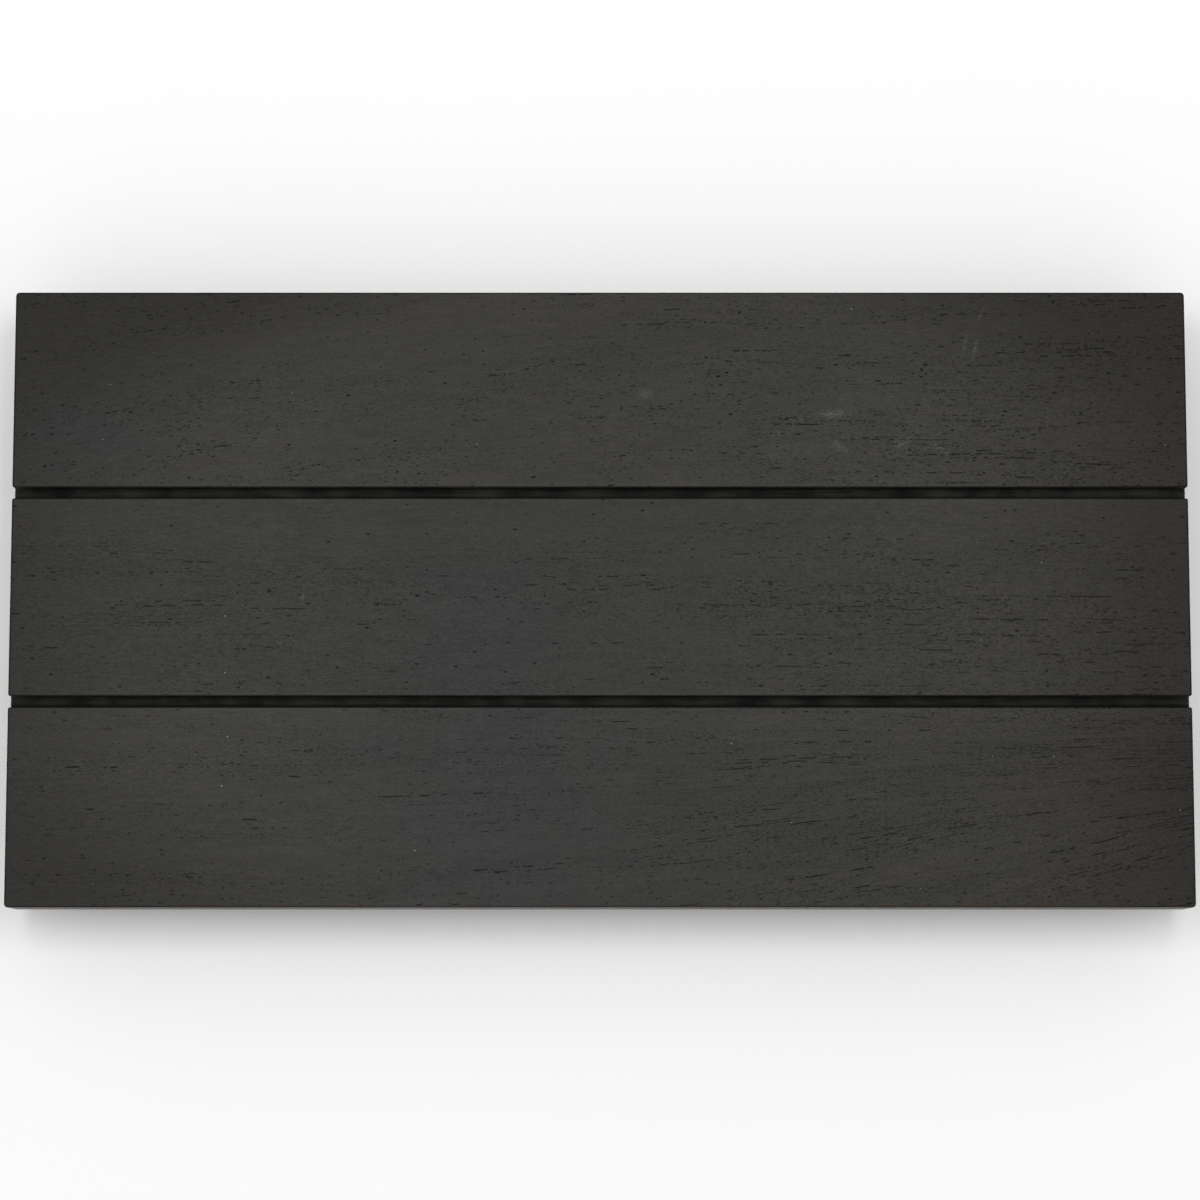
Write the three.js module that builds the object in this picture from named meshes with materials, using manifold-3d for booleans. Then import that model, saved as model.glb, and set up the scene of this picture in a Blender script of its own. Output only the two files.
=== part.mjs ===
// A flat slatted wooden tray. Three planks lie side by side, joined by tongues and grooves
// that leave a narrow shadow gap on the deck. Two cross battens carry them, stand on rubber
// feet, and are screwed up into the planks from below.
// Millimetres, +Z up, +X along the planks, +Y towards the rear. The origin lies on the
// surface that the tray stands on, under the middle of the deck.

import * as THREE from 'three';
import { mergeVertices } from 'three/addons/utils/BufferGeometryUtils.js';
import Module from 'manifold-3d';

// Deck of planks, named from the rear to the front
const PLANK_NAMES = ['rear', 'middle', 'front'];
const DECK_LENGTH = 300;
const DECK_DEPTH = 157.5;
const PLANK_THICKNESS = 15;
const CORNER_ROUND = 1; // the deck's four corners, seen from above
const EDGE_ROUND = 0.5; // long outer edges of the deck
const END_ROUND = 0.5; // sanded ends of the planks

// Shadow-gap joint between two planks
const GAP_WIDTH = 2.9;
const GAP_DEPTH = 4.5; // from the deck down to the tongue, which is the floor of the gap
const GAP_ROUND = 0.3; // edges of the deck along the gap
const TONGUE_THICKNESS = 5;
const TONGUE_REACH = 4; // how far the tongue enters the next plank
const TONGUE_CHAMFER = 0.6; // lead-in on the tongue's tip
const TONGUE_CLEARANCE = 0.3; // between the tongue and its groove, on every side

// Battens
const BATTEN_SIDES = { left: -1, right: 1 };
const BATTEN_WIDTH = 30;
const BATTEN_HEIGHT = 12;
const BATTEN_SETBACK = 35; // finger room between the planks' ends and the batten
const BATTEN_INSET = 4; // from the deck's long edges to the batten's ends
const BATTEN_ROUND = 2; // lower edges along the batten
const BATTEN_END_ROUND = 1;

// Countersunk wood screws, a diagonal pair where each plank crosses each batten
const SCREW_DIAMETER = 3.5;
const SCREW_BITE = 8; // depth in the plank
const SCREW_POINT = 4; // length of the tapered point
const HEAD_DIAMETER = 7;
const HEAD_RIM = 0.5; // height of the straight rim below the cone
const HEAD_SINK = 0.5; // how far the head lies inside the batten
const RECESS_WIDTH = 1; // cross-shaped driver recess
const RECESS_SPAN = 4;
const RECESS_DEPTH = 1.5;
const SCREW_EDGE = 7.5; // from the batten's side to the screw
const SCREW_SPREAD = 14; // between the two screws of a pair, along the batten
const SCREW_CLEARANCE = 0.3; // between the screw and the wood around it

// Stick-on rubber feet under the battens' ends
const FOOT_ENDS = { rear: 1, front: -1 };
const FOOT_DIAMETER = 10; // against the batten
const FOOT_TAPER = 0.5; // how much narrower, all round, the foot is at its lower edge
const FOOT_HEIGHT = 2;
const FOOT_ROUND = 0.5; // lower edge
const FOOT_INSET = 8; // from the batten's end to the foot's middle

// Facets
const ARC_STEPS = 3;
const END_STEPS = 2;
const SCREW_SIDES = 16;
const HOLE_SIDES = 16;
const FOOT_SIDES = 24;

// Places that follow from the sizes above
const PLANK_PITCH = (DECK_DEPTH + GAP_WIDTH) / PLANK_NAMES.length;
const PLANK_FACE = PLANK_PITCH - GAP_WIDTH; // width of one plank on the deck
const BATTEN_LENGTH = DECK_DEPTH - 2 * BATTEN_INSET;
const BATTEN_X = DECK_LENGTH / 2 - BATTEN_SETBACK - BATTEN_WIDTH / 2;
const BATTEN_Z = FOOT_HEIGHT;
const DECK_UNDERSIDE = BATTEN_Z + BATTEN_HEIGHT;
const TONGUE_TOP = PLANK_THICKNESS - GAP_DEPTH;
const TONGUE_BOTTOM = TONGUE_TOP - TONGUE_THICKNESS;
const SCREW_RADIUS = SCREW_DIAMETER / 2;
const HEAD_RADIUS = HEAD_DIAMETER / 2;
const HOLE_RADIUS = SCREW_RADIUS + SCREW_CLEARANCE;
const SCREW_LENGTH = BATTEN_HEIGHT - HEAD_SINK + SCREW_BITE;
const SCREW_X = BATTEN_WIDTH / 2 - SCREW_EDGE;

const wood = new THREE.MeshStandardMaterial({ color: 0x3e3e3b, roughness: 0.62, metalness: 0 });
const steel = new THREE.MeshStandardMaterial({ color: 0x8d9094, roughness: 0.38, metalness: 1 });
const rubber = new THREE.MeshStandardMaterial({ color: 0x1d1d1c, roughness: 0.8, metalness: 0 });

const wasm = await Module();
wasm.setup();

// A closed geometry as a solid that can be joined and cut
function toSolid(geometry) {
  const bare = geometry.clone();
  bare.deleteAttribute('normal');
  bare.deleteAttribute('uv');
  const merged = mergeVertices(bare);
  return new wasm.Manifold(
    new wasm.Mesh({
      numProp: 3,
      vertProperties: merged.attributes.position.array,
      triVerts: new Uint32Array(merged.index.array),
    }),
  );
}

function toGeometry(solid) {
  const { vertProperties, triVerts } = solid.getMesh();
  const geometry = new THREE.BufferGeometry();
  geometry.setAttribute('position', new THREE.BufferAttribute(vertProperties, 3));
  geometry.setIndex(new THREE.BufferAttribute(triVerts, 1));
  geometry.computeVertexNormals();
  return geometry;
}

// A closed outline through [x, y, radius] corners, each rounded by an arc of its radius
function roundedOutline(corners) {
  const shape = new THREE.Shape();
  corners.forEach(([x, y, radius = 0], i) => {
    const corner = new THREE.Vector2(x, y);
    if (radius === 0) {
      if (i === 0) shape.moveTo(x, y);
      else shape.lineTo(x, y);
      return;
    }
    const [before, after] = [corners.at(i - 1), corners[(i + 1) % corners.length]];
    const back = new THREE.Vector2(before[0], before[1]).sub(corner).normalize();
    const ahead = new THREE.Vector2(after[0], after[1]).sub(corner).normalize();
    const half = Math.acos(back.dot(ahead)) / 2;
    const centre = back.clone().add(ahead).setLength(radius / Math.sin(half)).add(corner);
    const start = back.multiplyScalar(radius / Math.tan(half)).add(corner);
    const end = ahead.multiplyScalar(radius / Math.tan(half)).add(corner);
    if (i === 0) shape.moveTo(start.x, start.y);
    else shape.lineTo(start.x, start.y);
    const angleTo = (point) => Math.atan2(point.y - centre.y, point.x - centre.x);
    shape.absarc(centre.x, centre.y, radius, angleTo(start), angleTo(end));
  });
  shape.closePath();
  return shape;
}

// A rectangle about the origin with one radius on all its corners
function roundedRectangle(width, height, radius) {
  const [x, y] = [width / 2, height / 2];
  return roundedOutline([
    [x, -y, radius],
    [x, y, radius],
    [-x, y, radius],
    [-x, -y, radius],
  ]);
}

// A bar of the given section and length along +Z, centred on its middle, with eased ends
function bar(section, length, endRound = 0) {
  return new THREE.ExtrudeGeometry(section, {
    depth: length - 2 * endRound,
    curveSegments: ARC_STEPS,
    bevelEnabled: endRound > 0,
    bevelThickness: endRound,
    bevelSize: endRound,
    bevelOffset: -endRound,
    bevelSegments: END_STEPS,
  }).translate(0, 0, endRound - length / 2);
}

// A turned piece about +Z from [radius, height] points that run from low to high
function turned(profile, sides) {
  const points = profile.map(([radius, height]) => new THREE.Vector2(radius, height));
  return new THREE.LatheGeometry(points, sides).rotateX(Math.PI / 2);
}

// Section of a plank across its length, with y = 0 at the middle of its face and z = 0 below.
// The tongue stands on the rear edge, and its upper side runs out into the floor of the gap.
function plankSection(hasTongue, hasGroove) {
  const half = PLANK_FACE / 2;
  const cheek = half + GAP_WIDTH; // meets the next plank below the tongue
  const tip = cheek + TONGUE_REACH;
  const rear = hasTongue
    ? [
        [cheek, 0],
        [cheek, TONGUE_BOTTOM],
        [tip - TONGUE_CHAMFER, TONGUE_BOTTOM],
        [tip, TONGUE_BOTTOM + TONGUE_CHAMFER],
        [tip, TONGUE_TOP - TONGUE_CHAMFER],
        [tip - TONGUE_CHAMFER, TONGUE_TOP],
        [half, TONGUE_TOP],
        [half, PLANK_THICKNESS, GAP_ROUND],
      ]
    : [
        [half, 0, EDGE_ROUND],
        [half, PLANK_THICKNESS, EDGE_ROUND],
      ];
  const grooveEnd = TONGUE_REACH + TONGUE_CLEARANCE - half;
  const front = hasGroove
    ? [
        [-half, PLANK_THICKNESS, GAP_ROUND],
        [-half, TONGUE_TOP + TONGUE_CLEARANCE],
        [grooveEnd, TONGUE_TOP + TONGUE_CLEARANCE],
        [grooveEnd, TONGUE_BOTTOM - TONGUE_CLEARANCE],
        [-half, TONGUE_BOTTOM - TONGUE_CLEARANCE],
        [-half, 0],
      ]
    : [
        [-half, PLANK_THICKNESS, EDGE_ROUND],
        [-half, 0, EDGE_ROUND],
      ];
  return roundedOutline([...rear, ...front]);
}

// [x, y] of the screws of one batten where it crosses a plank, from the middle of the crossing
function screwPair(side) {
  return [1, -1].map((sign) => [sign * side * SCREW_X, (sign * SCREW_SPREAD) / 2]);
}

// The section runs along +X: its own x and y become the piece's y and z.
const ALONG_X = new THREE.Matrix4().makeBasis(
  new THREE.Vector3(0, 1, 0),
  new THREE.Vector3(0, 0, 1),
  new THREE.Vector3(1, 0, 0),
);

// The section runs along +Y: its own x stays, and its own y becomes the piece's z.
const ALONG_Y = new THREE.Matrix4().makeBasis(
  new THREE.Vector3(1, 0, 0),
  new THREE.Vector3(0, 0, 1),
  new THREE.Vector3(0, -1, 0),
);

// The whole deck with its corners and ends rounded, and z = 0 below
function deckBlank() {
  const plan = roundedRectangle(DECK_LENGTH, DECK_DEPTH, CORNER_ROUND);
  const side = roundedRectangle(DECK_LENGTH, PLANK_THICKNESS, END_ROUND);
  const fromAbove = toSolid(bar(plan, PLANK_THICKNESS));
  const fromFront = toSolid(bar(side, DECK_DEPTH).applyMatrix4(ALONG_Y));
  return fromAbove.intersect(fromFront).translate(0, 0, PLANK_THICKNESS / 2);
}

// One plank is its own section's share of the deck, with the screws' pilot holes.
function plank(i) {
  const hasTongue = i > 0;
  const hasGroove = i < PLANK_NAMES.length - 1;
  const section = bar(plankSection(hasTongue, hasGroove), DECK_LENGTH).applyMatrix4(ALONG_X);
  let solid = toSolid(section).intersect(deckBlank().translate(0, -plankY(i), 0));
  const depth = SCREW_BITE + SCREW_CLEARANCE;
  const pilot = new THREE.CylinderGeometry(HOLE_RADIUS, HOLE_RADIUS, 2 * depth, HOLE_SIDES);
  const hole = toSolid(pilot.rotateX(Math.PI / 2));
  for (const side of Object.values(BATTEN_SIDES)) {
    for (const [x, y] of screwPair(side)) {
      solid = solid.subtract(hole.translate(side * BATTEN_X + x, y, 0));
    }
  }
  return toGeometry(solid);
}

// Clearance hole and countersink that a screw passes through, from below the batten to above it
function screwHole() {
  const coneFoot = HEAD_SINK + HEAD_RIM;
  const wide = HEAD_RADIUS + SCREW_CLEARANCE;
  return toSolid(
    turned(
      [
        [0, -BATTEN_HEIGHT],
        [wide, -BATTEN_HEIGHT],
        [wide, coneFoot],
        [HOLE_RADIUS, coneFoot + HEAD_RADIUS - SCREW_RADIUS],
        [HOLE_RADIUS, 2 * BATTEN_HEIGHT],
        [0, 2 * BATTEN_HEIGHT],
      ],
      HOLE_SIDES,
    ),
  );
}

function batten(side) {
  const half = BATTEN_WIDTH / 2;
  const section = roundedOutline([
    [half, 0, BATTEN_ROUND],
    [half, BATTEN_HEIGHT],
    [-half, BATTEN_HEIGHT],
    [-half, 0, BATTEN_ROUND],
  ]);
  let solid = toSolid(bar(section, BATTEN_LENGTH, BATTEN_END_ROUND).applyMatrix4(ALONG_Y));
  const hole = screwHole();
  PLANK_NAMES.forEach((_, i) => {
    for (const [x, y] of screwPair(side)) {
      solid = solid.subtract(hole.translate(x, plankY(i) + y, 0));
    }
  });
  return toGeometry(solid);
}

// The screw points up, and z = 0 is the flat face of its head.
function screw() {
  const shankFoot = HEAD_RIM + HEAD_RADIUS - SCREW_RADIUS;
  const blank = toSolid(
    turned(
      [
        [0, 0],
        [HEAD_RADIUS, 0],
        [HEAD_RADIUS, HEAD_RIM],
        [SCREW_RADIUS, shankFoot],
        [SCREW_RADIUS, SCREW_LENGTH - SCREW_POINT],
        [0, SCREW_LENGTH],
      ],
      SCREW_SIDES,
    ),
  );
  const slot = new THREE.BoxGeometry(RECESS_SPAN, RECESS_WIDTH, 2 * RECESS_DEPTH);
  const crossSlot = slot.clone().rotateZ(Math.PI / 2);
  return toGeometry(blank.subtract(toSolid(slot)).subtract(toSolid(crossSlot)));
}

// The foot's sides taper, and its lower edge is an arc between the side and the flat sole.
function foot() {
  const radius = FOOT_DIAMETER / 2;
  const sole = roundedOutline([
    [0, 0],
    [radius - FOOT_TAPER, 0, FOOT_ROUND],
    [radius, FOOT_HEIGHT],
    [0, FOOT_HEIGHT],
  ]);
  const profile = sole.extractPoints(ARC_STEPS).shape;
  return turned(
    profile.map((point) => [point.x, point.y]),
    FOOT_SIDES,
  );
}

// Middle of a plank's face, counted from the rear
function plankY(i) {
  return (DECK_DEPTH - PLANK_FACE) / 2 - i * PLANK_PITCH;
}

function place(name, geometry, material, x, y, z) {
  const mesh = new THREE.Mesh(geometry, material);
  mesh.name = name;
  mesh.position.set(x, y, z);
  return mesh;
}

const tray = new THREE.Group();
tray.name = 'slatted_tray';

PLANK_NAMES.forEach((name, i) => {
  tray.add(place(`plank_${name}`, plank(i), wood, 0, plankY(i), DECK_UNDERSIDE));
});

const screwGeometry = screw();
const footGeometry = foot();
const footY = BATTEN_LENGTH / 2 - FOOT_INSET;
for (const [sideName, side] of Object.entries(BATTEN_SIDES)) {
  const battenX = side * BATTEN_X;
  tray.add(place(`batten_${sideName}`, batten(side), wood, battenX, 0, BATTEN_Z));
  PLANK_NAMES.forEach((plankName, i) => {
    screwPair(side).forEach(([x, y], n) => {
      const name = `screw_${sideName}_${plankName}_${n + 1}`;
      tray.add(place(name, screwGeometry, steel, battenX + x, plankY(i) + y, BATTEN_Z + HEAD_SINK));
    });
  });
  for (const [endName, end] of Object.entries(FOOT_ENDS)) {
    tray.add(place(`foot_${sideName}_${endName}`, footGeometry, rubber, battenX, end * footY, 0));
  }
}

export default tray;
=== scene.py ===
"""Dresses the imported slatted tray: black-stained planks, drilled battens, wood screws and rubber feet."""
import math

import bmesh
import bpy
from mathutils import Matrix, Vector


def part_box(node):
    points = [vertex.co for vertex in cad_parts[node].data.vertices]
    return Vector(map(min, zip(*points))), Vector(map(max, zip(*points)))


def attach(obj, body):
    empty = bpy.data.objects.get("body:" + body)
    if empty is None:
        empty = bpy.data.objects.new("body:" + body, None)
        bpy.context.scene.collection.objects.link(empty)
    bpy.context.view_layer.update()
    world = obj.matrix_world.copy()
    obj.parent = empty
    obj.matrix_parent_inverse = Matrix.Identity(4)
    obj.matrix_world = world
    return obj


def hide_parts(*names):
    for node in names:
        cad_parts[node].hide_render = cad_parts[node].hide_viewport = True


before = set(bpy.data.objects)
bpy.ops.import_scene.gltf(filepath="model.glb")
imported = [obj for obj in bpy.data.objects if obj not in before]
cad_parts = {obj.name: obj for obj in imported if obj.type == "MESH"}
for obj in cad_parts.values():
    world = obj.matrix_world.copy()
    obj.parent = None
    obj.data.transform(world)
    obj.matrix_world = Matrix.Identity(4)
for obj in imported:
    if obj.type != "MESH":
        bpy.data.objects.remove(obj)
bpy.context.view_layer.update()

MM = 0.001

# The deck's sizes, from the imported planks
REAR_LOW, REAR_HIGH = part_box("plank_rear")
MIDDLE_LOW, MIDDLE_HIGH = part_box("plank_middle")
FRONT_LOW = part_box("plank_front")[0]
DECK_LENGTH = REAR_HIGH.x - REAR_LOW.x
DECK_HALF_DEPTH = REAR_HIGH.y
DECK_TOP = REAR_HIGH.z
DECK_UNDERSIDE = REAR_LOW.z
DECK_LOW = (-DECK_LENGTH / 2, -DECK_HALF_DEPTH, DECK_UNDERSIDE)
DECK_HIGH = (DECK_LENGTH / 2, DECK_HALF_DEPTH, DECK_TOP)
PLANK_FACE = REAR_HIGH.y - REAR_LOW.y
MIDDLE_REAR = MIDDLE_LOW.y + PLANK_FACE
FRONT_REAR = FRONT_LOW.y + PLANK_FACE
GAP_WIDTH = REAR_LOW.y - MIDDLE_LOW.y - PLANK_FACE
TONGUE_REACH = MIDDLE_HIGH.y - REAR_LOW.y

# The shadow-gap joint between the planks
GAP_DEPTH = 4.5 * MM
TONGUE_THICKNESS = 5 * MM
TONGUE_CLEARANCE = 0.3 * MM
TONGUE_CHAMFER = 0.6 * MM

# How far the edges are eased
DECK_EDGE_ROUND = 0.5 * MM
DECK_CORNER_ROUND = 1.0 * MM
GAP_EDGE_ROUND = 0.35 * MM
END_ROUND = 0.5 * MM
BATTEN_ROUND = 2.0 * MM
BATTEN_SEAT_ROUND = 0.4 * MM
BATTEN_END_ROUND = 1.0 * MM
LARGEST_ROUND = BATTEN_ROUND
ROUND_STEPS = 6
CRISP_ANGLE = math.radians(40)
NEAR = 0.02 * MM
WELD = 0.001 * MM

# A line across the tray that no piece reaches
BEYOND = 1.0

# Battens, screws and feet
SIDES = ("left", "right")
ROWS = ("rear", "middle", "front")
FOOT_ROWS = ("rear", "front")
SCREW_NAMES = [f"screw_{side}_{row}_{number}" for side in SIDES for row in ROWS for number in (1, 2)]
FOOT_NAMES = [f"foot_{side}_{row}" for side in SIDES for row in FOOT_ROWS]
SCREW_BOXES = [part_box(name) for name in SCREW_NAMES]
FOOT_BOXES = [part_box(name) for name in FOOT_NAMES]
BATTEN_LOW, BATTEN_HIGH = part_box("batten_left")
SCREW_LOW, SCREW_HIGH = SCREW_BOXES[0]
SCREW_LENGTH = SCREW_HIGH.z - SCREW_LOW.z
HEAD_RADIUS = (SCREW_HIGH.x - SCREW_LOW.x) / 2
HEAD_RIM = 0.5 * MM
HEAD_EDGE_BREAK = 0.1 * MM
SHANK_RADIUS = 1.25 * MM
THREAD_CORE = 1.1 * MM
THREAD_CREST = 1.7 * MM
THREAD_PITCH = 1.6 * MM
THREAD_START = 6.5 * MM
THREAD_FLANK = 0.3
THREAD_STEPS = 10
SCREW_POINT = 4 * MM
SCREW_SIDES = 24
SCREW_SEED = 4
RECESS_WIDTH = 1.0 * MM
RECESS_SPAN = 4.0 * MM
RECESS_DEPTH = 1.5 * MM
RECESS_TAPER = 0.45
DRILL_CLEARANCE = 0.3 * MM
DRILL_OVERRUN = 1 * MM
DRILL_SIDES = 48
PILOT_TIP = 0.2 * MM
PILOT_SIDES = 24
FOOT_TAPER = 0.5 * MM
FOOT_ROUND = 0.5 * MM
FOOT_ROUND_STEPS = 6
FOOT_SIDES = 64
FOOT_SEED = 1

# The camera, worked out from the deck's four corners in the 1200 x 1200 photograph
CAMERA_DISTANCE = 0.900
CAMERA_TILT = math.radians(6.887)
CAMERA_TARGET = Vector((0, -0.86 * MM, DECK_TOP))
CAMERA_LENS = 106.25
CAMERA_SENSOR = 36

# Studio light
SOFTBOX_SIZE = (0.20, 0.40)
SOFTBOX_POWER = 1.95
SOFTBOX_PLACES = ((-0.22, 0.10, 0.98), (0.19, 0.10, 0.98))
ROOM_LIGHT = 0.72
UNDER_SIZE = (0.5, 0.4)
UNDER_POWER = 1.5
UNDER_PLACE = (0, 0, -0.6)
FLOOR_WIDTH = 12.0

# Stain and fitting colours, linear
WARM_DEEP = (0.0052, 0.0049, 0.0039, 1)
WARM_PALE = (0.0232, 0.0217, 0.0175, 1)
COOL_DEEP = (0.0046, 0.0046, 0.0044, 1)
COOL_PALE = (0.0216, 0.0214, 0.0206, 1)
OLIVE_TINT = (1.06, 1.02, 0.74, 1)
PORE_BLACK = (0.0035, 0.0035, 0.0035, 1)
# Painted shade at the deck's ends and corners
END_SHADE_BROWN = (0.0047, 0.0037, 0.0024, 1)
BARE_BROWN = (0.045, 0.020, 0.013, 1)
SCUFF_GREY = (0.12, 0.12, 0.115, 1)
DUST_WHITE = (0.35, 0.35, 0.34, 1)
SAWN_BLACK = (0.0300, 0.0295, 0.0245, 1)
# Painted shade at the tongues' roots
ROOT_SHADE_BLACK = (0, 0, 0, 1)
ZINC_PALE = (0.62, 0.63, 0.65, 1)
ZINC_DULL = (0.34, 0.35, 0.37, 1)
RUBBER_BLACK = (0.026, 0.026, 0.027, 1)
RUBBER_GREY = (0.046, 0.046, 0.047, 1)
FLOOR_WHITE = (0.95, 0.95, 0.945, 1)
FLOOR_SHADE = (0.93, 0.93, 0.925, 1)

# Which axes count across the grain, and in plan
ACROSS_GRAIN = (0.0, 1.0, 1.0)
IN_PLAN = (1.0, 1.0, 0.0)

# The grain's waves in a metre and their width, and the millimetres over which a growth ring changes
GRAIN_WAVES = (14.0, 60.0, 60.0)
GRAIN_WOBBLE = 1.2 * MM
RING_RUN = 130

# Pores, in millimetres: their pitch along, across and into the grain, and the length of the lines' dashes
SHORT_PORE_PITCH = (2.5, 1.0, 1.0)
END_PORE_PITCH = (8.0, 0.6, 0.6)
PORE_LINES = (("Long", (24.0, 1.0, 1.0), 4.5), ("Middle", (10.0, 0.8, 0.8), 1.6))

# A pore's black core and its pale rim of painted highlight, as shares of its radius
PORE_CORE = 0.5
RIM_INNER = 1.1
RIM_OUTER = 2.4

# The size of the pore lines' bends and of the pores' ragged sides, in millimetres
LINE_BENDS = (5.0, 2.5, 2.5)
LINE_BEND_WIDTH = 0.6
LINE_RAGS = (0.6, 0.3, 0.3)
SHORT_RAGS = (0.5, 0.3, 0.3)
SHORT_RAG_DEPTH = 0.2

# The spread and the least value of each pore's radius, in pitches, and of its depth
LINE_RADIUS = (0.26, 0.07)
LINE_DEPTH = (0.5, 0.5)
SHORT_RADIUS = (0.2, 0.12)
SHORT_DEPTH = (0.65, 0.35)

# The noise level above which a pore line is open: its fall with the cover, its start, and how it differs
LINE_OPENING = (-0.36, 0.78)
LINE_VARIETY = 0.14
DASH_SOFTNESS = 0.06
LINES_APART = 60.0

# Streaks along the grain: their length and width in millimetres, their detail and their roughness
PATCH_STREAKS = (28, 7, 2.0, 0.5)
CLOUD_STREAKS = (45, 14, 3.0, 0.5)
BAND_STREAKS = (12, 2.2, 2.0, 0.5)
COARSE_STREAKS = (3.0, 0.6, 2.0, 0.6)
FINE_STREAKS = (0.5, 0.35, 2.0, 0.6)
TICK_STREAKS = (1.0, 0.3, 1.0, 0.5)
CAST_STREAKS = (14, 10, 2.0, 0.5)

# How strongly each changes the tone, and how far the ticks sink into the fibres
CLOUD_STRENGTH = 0.5
BAND_STRENGTH = 0.7
COARSE_STRENGTH = 0.4
FINE_STRENGTH = 0.72
END_RING_STRENGTH = 2.5
TICK_STRENGTH = -0.3
RIM_HIGHLIGHT_STRENGTH = 0.2
TICK_DEPTH = -0.25

# Where pores gather: between rings, away from a thinned side, to the right, and in the ends' early wood
PATCH_PORES = (0.55, 1.2)
THINNED_PORES = 0.35
LIVELIER_FROM = 0.05
EARLY_WOOD = (0.58, 0.40, 0.1, 0.8)
END_GRAIN_DEPTH = 0.6 * MM

# Painted shade: how far in from the ends and corners the deck is darkened where the softboxes' reflection
# falls off, and how much less on the end grain
END_SHADE_REACH = 90 * MM
END_SHADE_CORNER = 45 * MM
END_GRAIN_SHADE = -0.6

# Edges: the width and strength of the deck's black band of painted shade along its arrises and of the
# battens' rubbed edges, and the front edge, where the deck's band is bare wood worn through instead
DECK_EDGE_SHADE_AND_WEAR = (0.0006, 0.7)
BATTEN_WEAR = (0.0012, 0.5)
BARE_FRONT = (2 * MM - DECK_HALF_DEPTH, 1 * MM - DECK_HALF_DEPTH)

# Where scuffs and dust lie, the painted highlight on the arrises beside the gaps, and the painted shade at
# the tongues' roots
UPPER_FACE = (DECK_TOP - 0.4 * MM, DECK_TOP - 0.1 * MM)
# Painted highlight: how far from a gap's arris it reaches, and how much paler it makes the tone
ARRIS_HIGHLIGHT_REACH = (1.1 * MM, 0.4 * MM)
ARRIS_PAINTED_HIGHLIGHT = 0.25
# Painted shade at the tongues' roots: its reach and strength
ROOT_SHADE_REACH = (1.5 * MM, 0.4 * MM)
ROOT_SHADE_STRENGTH = 0.9

# The dust's pitch and size, and how deep the pores are
DUST_PITCH = 16 * MM
DUST_SIZE = 0.2 * MM
PORE_RELIEF = 0.12 * MM

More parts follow.
